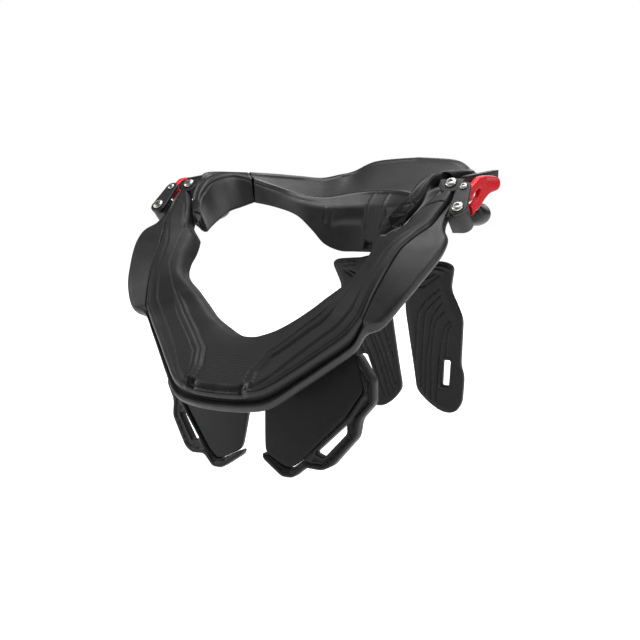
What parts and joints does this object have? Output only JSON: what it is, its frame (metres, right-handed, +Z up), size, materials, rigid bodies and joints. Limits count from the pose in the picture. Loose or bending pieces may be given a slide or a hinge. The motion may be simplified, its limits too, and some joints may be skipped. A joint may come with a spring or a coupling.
{
  "type": "motocross neck brace",
  "caption": "Hinged rider neck brace: padded front half and sloping rear table round the neck, chest legs, back paddles and red release levers.",
  "frame": {"origin": "on the floor under the middle of the whole brace", "axes": "+X to the wearer's left, +Y to the wearer's back, +Z up"},
  "size_m": [0.2844, 0.339, 0.2395],
  "materials": {
    "foam": "matte closed-cell foam",
    "shell": "satin moulded",
    "soft_trim": "satin",
    "red_plastic": "gloss",
    "steel": "polished"
  },
  "bodies": {
    "rear_half": {"rear_table": "shell", "rear_arm_pad_R": "foam", "rear_arm_pad_L": "foam", "hinge_cover_R": "shell", "hinge_cover_L": "shell", "hinge_screw_R": "steel", "hinge_screw_L": "steel", "shoulder_pad_R": "foam", "shoulder_pad_L": "foam", "back_paddle_R": "soft_trim", "back_paddle_L": "soft_trim", "back_strut": "shell"},
    "front_half": {"front_pad": "foam", "front_frame": "shell", "leg_panel_R": "shell", "leg_panel_L": "shell", "leg_rim_R": "soft_trim", "leg_rim_L": "soft_trim", "latch_block_R": "shell", "latch_block_L": "shell", "latch_screw_R": "steel", "latch_screw_L": "steel"},
    "link_R": {"latch_link_R": "shell", "lever_screw_R": "steel"},
    "link_L": {"latch_link_L": "shell", "lever_screw_L": "steel"},
    "lever_R": {"red_lever_R": "red_plastic"},
    "lever_L": {"red_lever_L": "red_plastic"}
  },
  "joints": [
    {"name": "front_swing", "type": "hinge", "parent": "rear_half", "child": "front_half", "pos_m": [-0.12, -0.03547, 0.2146], "axis": [0, 0.6947, -0.7193], "range_deg": [0, 45]},
    {"name": "link_swing_R", "type": "hinge", "parent": "front_half", "child": "link_R", "pos_m": [0.1352, -0.05583, 0.19494], "axis": [0, 0.6947, -0.7193], "range_deg": [0, 35]},
    {"name": "lever_swing_R", "type": "hinge", "parent": "link_R", "child": "lever_R", "pos_m": [0.1332, -0.04051, 0.20974], "axis": [0, 0.6947, -0.7193], "range_deg": [0, 35]},
    {"name": "link_swing_L", "type": "hinge", "parent": "front_half", "child": "link_L", "pos_m": [-0.1352, -0.05583, 0.19494], "axis": [0, -0.6947, 0.7193], "range_deg": [0, 45]},
    {"name": "lever_swing_L", "type": "hinge", "parent": "link_L", "child": "lever_L", "pos_m": [-0.1332, -0.04051, 0.20974], "axis": [0, -0.6947, 0.7193], "range_deg": [0, 35]}
  ],
  "couplings": [
    {"joint": "link_swing_L", "follows": "front_swing", "ratio": 1}
  ]
}
